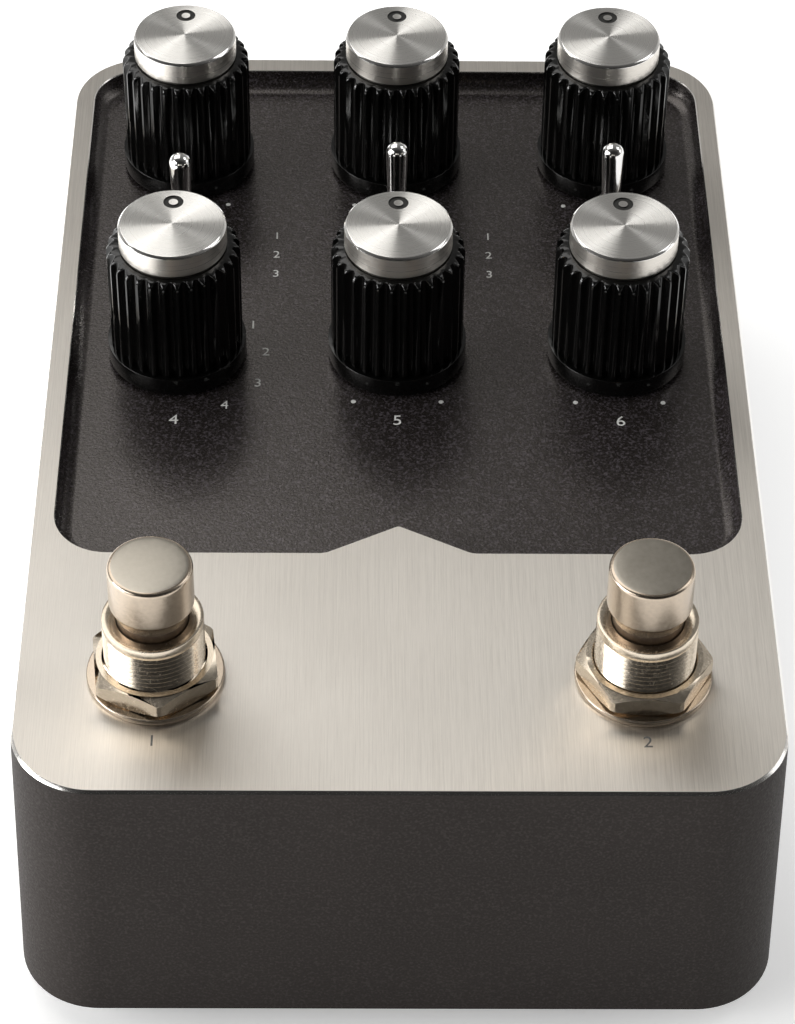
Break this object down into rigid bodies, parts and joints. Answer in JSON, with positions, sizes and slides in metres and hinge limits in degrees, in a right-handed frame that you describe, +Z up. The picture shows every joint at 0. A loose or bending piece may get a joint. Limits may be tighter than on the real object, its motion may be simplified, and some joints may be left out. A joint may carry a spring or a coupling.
{
  "type": "delay pedal",
  "caption": "Desktop or floor effects pedal with a sunken control deck, fluted knobs, toggle switches and footswitches that press, and audio jacks at the rear.",
  "frame": {"origin": "middle of the footprint, jack noses included, at the underside of the feet", "axes": "+X to the player's right, +Y from the footswitches towards the jacks, +Z up"},
  "size_m": [0.093, 0.1448, 0.0613],
  "materials": {
    "shell_coat": "fine matte coat on the sides and in the deck, brushed bare metal on the front of the top face",
    "plate_coat": "fine matte coat",
    "feet_rubber": "matte",
    "pot_metal": "plain",
    "switch_case": "moulded",
    "toggle_chrome": "polished",
    "switch_nickel": "satin nickel plate",
    "light_lens": "clear",
    "board_green": "solder mask",
    "spacer_brass": "turned",
    "moulded_black": "moulded",
    "contact_brass": "plated",
    "jack_nickel": "nickel plate",
    "socket_steel": "pressed",
    "spring_steel": "drawn wire",
    "knob_black": "glossy black",
    "knob_metal": "spun and bright cut",
    "shaft_metal": "turned"
  },
  "bodies": {
    "pedal": {"enclosure": "shell_coat", "base_plate": "plate_coat", "rubber_feet": "feet_rubber", "pot_housings": "pot_metal", "toggle_housings": "switch_case", "toggle_bushings": "toggle_chrome", "footswitch_housings": "switch_case", "footswitch_bushings": "switch_nickel", "footswitch_washers": "switch_nickel", "footswitch_nuts": "switch_nickel", "status_lights": "light_lens", "control_board": "board_green", "main_board": "board_green", "board_spacers": "spacer_brass", "board_connector": "moulded_black", "board_components": "moulded_black", "jack_housings": "moulded_black", "jack_contacts": "contact_brass", "jack_nuts": "jack_nickel", "power_inlet": "moulded_black", "power_inlet_pin": "contact_brass", "data_socket_shell": "socket_steel", "data_socket_tongue": "moulded_black", "pair_switch": "moulded_black", "footswitch_spring_left": "spring_steel", "footswitch_spring_right": "spring_steel"},
    "knob_rear_left": {"knob_body_rear_left": "knob_black", "knob_cap_rear_left": "knob_metal", "pot_shaft_rear_left": "shaft_metal"},
    "knob_rear_centre": {"knob_body_rear_centre": "knob_black", "knob_cap_rear_centre": "knob_metal", "pot_shaft_rear_centre": "shaft_metal"},
    "knob_rear_right": {"knob_body_rear_right": "knob_black", "knob_cap_rear_right": "knob_metal", "pot_shaft_rear_right": "shaft_metal"},
    "knob_front_left": {"knob_body_front_left": "knob_black", "knob_cap_front_left": "knob_metal", "pot_shaft_front_left": "shaft_metal"},
    "knob_front_centre": {"knob_body_front_centre": "knob_black", "knob_cap_front_centre": "knob_metal", "pot_shaft_front_centre": "shaft_metal"},
    "knob_front_right": {"knob_body_front_right": "knob_black", "knob_cap_front_right": "knob_metal", "pot_shaft_front_right": "shaft_metal"},
    "toggle_left": {"toggle_lever_left": "toggle_chrome"},
    "toggle_centre": {"toggle_lever_centre": "toggle_chrome"},
    "toggle_right": {"toggle_lever_right": "toggle_chrome"},
    "footswitch_left": {"footswitch_plunger_left": "switch_nickel"},
    "footswitch_right": {"footswitch_plunger_right": "switch_nickel"},
    "pair_button": {"pair_button": "moulded_black"}
  },
  "joints": [
    {"name": "knob_rear_left_turn", "type": "hinge", "parent": "pedal", "child": "knob_rear_left", "pos_m": [-0.0289, 0.04828, 0.0394], "axis": [0, 0, 1], "range_deg": [-150, 150]},
    {"name": "knob_rear_centre_turn", "type": "hinge", "parent": "pedal", "child": "knob_rear_centre", "pos_m": [0, 0.04828, 0.0394], "axis": [0, 0, 1], "range_deg": [-150, 150]},
    {"name": "knob_rear_right_turn", "type": "hinge", "parent": "pedal", "child": "knob_rear_right", "pos_m": [0.0289, 0.04828, 0.0394], "axis": [0, 0, 1], "range_deg": [-150, 150]},
    {"name": "knob_front_left_turn", "type": "hinge", "parent": "pedal", "child": "knob_front_left", "pos_m": [-0.0289, 0.00788, 0.0394], "axis": [0, 0, 1], "range_deg": [-150, 150]},
    {"name": "knob_front_centre_turn", "type": "hinge", "parent": "pedal", "child": "knob_front_centre", "pos_m": [0, 0.00788, 0.0394], "axis": [0, 0, 1], "range_deg": [-150, 150]},
    {"name": "knob_front_right_turn", "type": "hinge", "parent": "pedal", "child": "knob_front_right", "pos_m": [0.0289, 0.00788, 0.0394], "axis": [0, 0, 1], "range_deg": [-150, 150]},
    {"name": "toggle_left_throw", "type": "hinge", "parent": "pedal", "child": "toggle_left", "pos_m": [-0.0289, 0.02808, 0.0396], "axis": [1, 0, 0], "range_deg": [-11, 11]},
    {"name": "toggle_centre_throw", "type": "hinge", "parent": "pedal", "child": "toggle_centre", "pos_m": [0, 0.02808, 0.0396], "axis": [1, 0, 0], "range_deg": [0, 22]},
    {"name": "toggle_right_throw", "type": "hinge", "parent": "pedal", "child": "toggle_right", "pos_m": [0.0289, 0.02808, 0.0396], "axis": [1, 0, 0], "range_deg": [0, 22]},
    {"name": "footswitch_left_press", "type": "slide", "parent": "pedal", "child": "footswitch_left", "axis": [0, 0, -1], "range_m": [0, 0.0021], "stiffness_N_per_m": 1500, "springref_m": -0.001, "deforming": ["footswitch_spring_left"]},
    {"name": "footswitch_right_press", "type": "slide", "parent": "pedal", "child": "footswitch_right", "axis": [0, 0, -1], "range_m": [0, 0.0021], "stiffness_N_per_m": 1500, "springref_m": -0.001, "deforming": ["footswitch_spring_right"]},
    {"name": "pair_button_press", "type": "slide", "parent": "pedal", "child": "pair_button", "axis": [0, -1, 0], "range_m": [0, 0.0004], "stiffness_N_per_m": 800, "springref_m": -0.0005}
  ]
}
